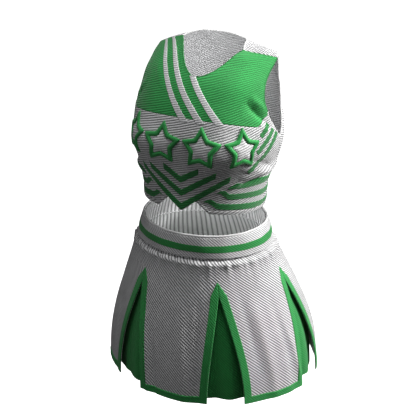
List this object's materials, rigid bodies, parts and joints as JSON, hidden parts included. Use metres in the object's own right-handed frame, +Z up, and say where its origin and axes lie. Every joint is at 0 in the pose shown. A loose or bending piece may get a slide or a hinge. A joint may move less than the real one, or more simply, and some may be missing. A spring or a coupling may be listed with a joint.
{
  "type": "cheer uniform",
  "caption": "Sleeveless crop shell with braids, star appliques and chevrons, above a gathered skirt of pleat panels with contrast inserts.",
  "frame": {"origin": "under the middle of the skirt, at the height of its hem", "axes": "+Z up, the front towards -Y, the wearer's left towards +X"},
  "size_m": [0.4462, 0.4126, 0.7258],
  "materials": {
    "white_knit": "white corded twill, matt",
    "white_skirt": "white diagonal corded twill, matt",
    "white_braid": "white flat braid, slight sheen",
    "binding": "white folded edge binding",
    "green_knit": "emerald green corded twill, matt",
    "green_trim": "emerald green raised braid, slight sheen",
    "elastic": "white ribbed elastic webbing"
  },
  "bodies": {
    "skirt_waist": {"waistband": "white_knit", "waistband_piping": "binding", "waistband_stripe": "green_trim", "waist_elastic": "elastic", "waist_facing": "binding", "yoke": "white_knit"},
    "shell": {"shell_front": "white_knit", "shell_back": "white_knit", "front_yoke_right": "green_knit", "front_yoke_left": "green_knit", "braid_1": "white_braid", "braid_2": "white_braid", "braid_3": "white_braid", "chevron_1": "green_trim", "chevron_2": "green_trim", "chevron_3": "green_trim", "waist_stripe_1": "green_trim", "waist_stripe_2": "green_trim", "waist_stripe_3": "green_trim", "arm_stripe_left_1": "green_trim", "arm_stripe_right_1": "green_trim", "arm_stripe_left_2": "green_trim", "arm_stripe_right_2": "green_trim", "arm_stripe_left_3": "green_trim", "arm_stripe_right_3": "green_trim", "star_border_1": "green_trim", "star_fill_1": "white_knit", "star_border_2": "green_trim", "star_fill_2": "white_knit", "star_border_3": "green_trim", "star_fill_3": "white_knit", "star_border_4": "green_trim", "star_fill_4": "white_knit", "neck_binding": "binding", "armhole_binding_left": "binding", "armhole_binding_right": "binding"},
    "pleat_1": {"panel_1": "white_skirt", "panel_trim_1": "green_trim"},
    "fold_1": {"insert_1": "green_knit"},
    "pleat_2": {"panel_2": "white_skirt", "panel_trim_2": "green_trim"},
    "fold_2": {"insert_2": "green_knit"},
    "pleat_3": {"panel_3": "white_skirt", "panel_trim_3": "green_trim"},
    "fold_3": {"insert_3": "green_knit"},
    "pleat_4": {"panel_4": "white_skirt", "panel_trim_4": "green_trim"},
    "fold_4": {"insert_4": "green_knit"},
    "pleat_5": {"panel_5": "white_skirt", "panel_trim_5": "green_trim"},
    "fold_5": {"insert_5": "green_knit"},
    "pleat_6": {"panel_6": "white_skirt", "panel_trim_6": "green_trim"},
    "fold_6": {"insert_6": "green_knit"}
  },
  "joints": [
    {"name": "shell_lift", "type": "slide", "parent": "skirt_waist", "child": "shell", "axis": [0, 0, 1], "range_m": [0, 0.08]},
    {"name": "pleat_1_flare", "type": "hinge", "parent": "skirt_waist", "child": "pleat_1", "pos_m": [0, -0.17004, 0.262], "axis": [-1, 0, 0], "range_deg": [0, 25]},
    {"name": "fold_1_flare", "type": "hinge", "parent": "skirt_waist", "child": "fold_1", "pos_m": [0.07964, -0.14934, 0.258], "axis": [-0.8954, -0.4452, 0], "range_deg": [0, 20]},
    {"name": "pleat_2_flare", "type": "hinge", "parent": "skirt_waist", "child": "pleat_2", "pos_m": [0.13911, -0.10096, 0.262], "axis": [-0.5577, -0.8301, 0], "range_deg": [0, 25]},
    {"name": "fold_2_flare", "type": "hinge", "parent": "skirt_waist", "child": "fold_2", "pos_m": [0.15914, -0.03083, 0.258], "axis": [0, -1, 0], "range_deg": [0, 20]},
    {"name": "pleat_3_flare", "type": "hinge", "parent": "skirt_waist", "child": "pleat_3", "pos_m": [0.13911, 0.03767, 0.262], "axis": [0.5577, -0.8301, 0], "range_deg": [0, 25]},
    {"name": "fold_3_flare", "type": "hinge", "parent": "skirt_waist", "child": "fold_3", "pos_m": [0.07964, 0.08769, 0.258], "axis": [0.8954, -0.4452, 0], "range_deg": [0, 20]},
    {"name": "pleat_4_flare", "type": "hinge", "parent": "skirt_waist", "child": "pleat_4", "pos_m": [0, 0.10676, 0.262], "axis": [1, 0, 0], "range_deg": [0, 25]},
    {"name": "fold_4_flare", "type": "hinge", "parent": "skirt_waist", "child": "fold_4", "pos_m": [-0.07964, 0.08769, 0.258], "axis": [0.8954, 0.4452, 0], "range_deg": [0, 20]},
    {"name": "pleat_5_flare", "type": "hinge", "parent": "skirt_waist", "child": "pleat_5", "pos_m": [-0.13911, 0.03767, 0.262], "axis": [0.5577, 0.8301, 0], "range_deg": [0, 25]},
    {"name": "fold_5_flare", "type": "hinge", "parent": "skirt_waist", "child": "fold_5", "pos_m": [-0.15914, -0.03083, 0.258], "axis": [0, 1, 0], "range_deg": [0, 20]},
    {"name": "pleat_6_flare", "type": "hinge", "parent": "skirt_waist", "child": "pleat_6", "pos_m": [-0.13911, -0.10096, 0.262], "axis": [-0.5577, 0.8301, 0], "range_deg": [0, 25]},
    {"name": "fold_6_flare", "type": "hinge", "parent": "skirt_waist", "child": "fold_6", "pos_m": [-0.07964, -0.14934, 0.258], "axis": [-0.8954, 0.4452, 0], "range_deg": [0, 20]}
  ],
  "couplings": [
    {"joint": "fold_1_flare", "follows": "pleat_1_flare", "ratio": 0.8},
    {"joint": "pleat_2_flare", "follows": "pleat_1_flare", "ratio": 1},
    {"joint": "fold_2_flare", "follows": "pleat_1_flare", "ratio": 0.8},
    {"joint": "pleat_3_flare", "follows": "pleat_1_flare", "ratio": 1},
    {"joint": "fold_3_flare", "follows": "pleat_1_flare", "ratio": 0.8},
    {"joint": "pleat_4_flare", "follows": "pleat_1_flare", "ratio": 1},
    {"joint": "fold_4_flare", "follows": "pleat_1_flare", "ratio": 0.8},
    {"joint": "pleat_5_flare", "follows": "pleat_1_flare", "ratio": 1},
    {"joint": "fold_5_flare", "follows": "pleat_1_flare", "ratio": 0.8},
    {"joint": "pleat_6_flare", "follows": "pleat_1_flare", "ratio": 1},
    {"joint": "fold_6_flare", "follows": "pleat_1_flare", "ratio": 0.8}
  ]
}
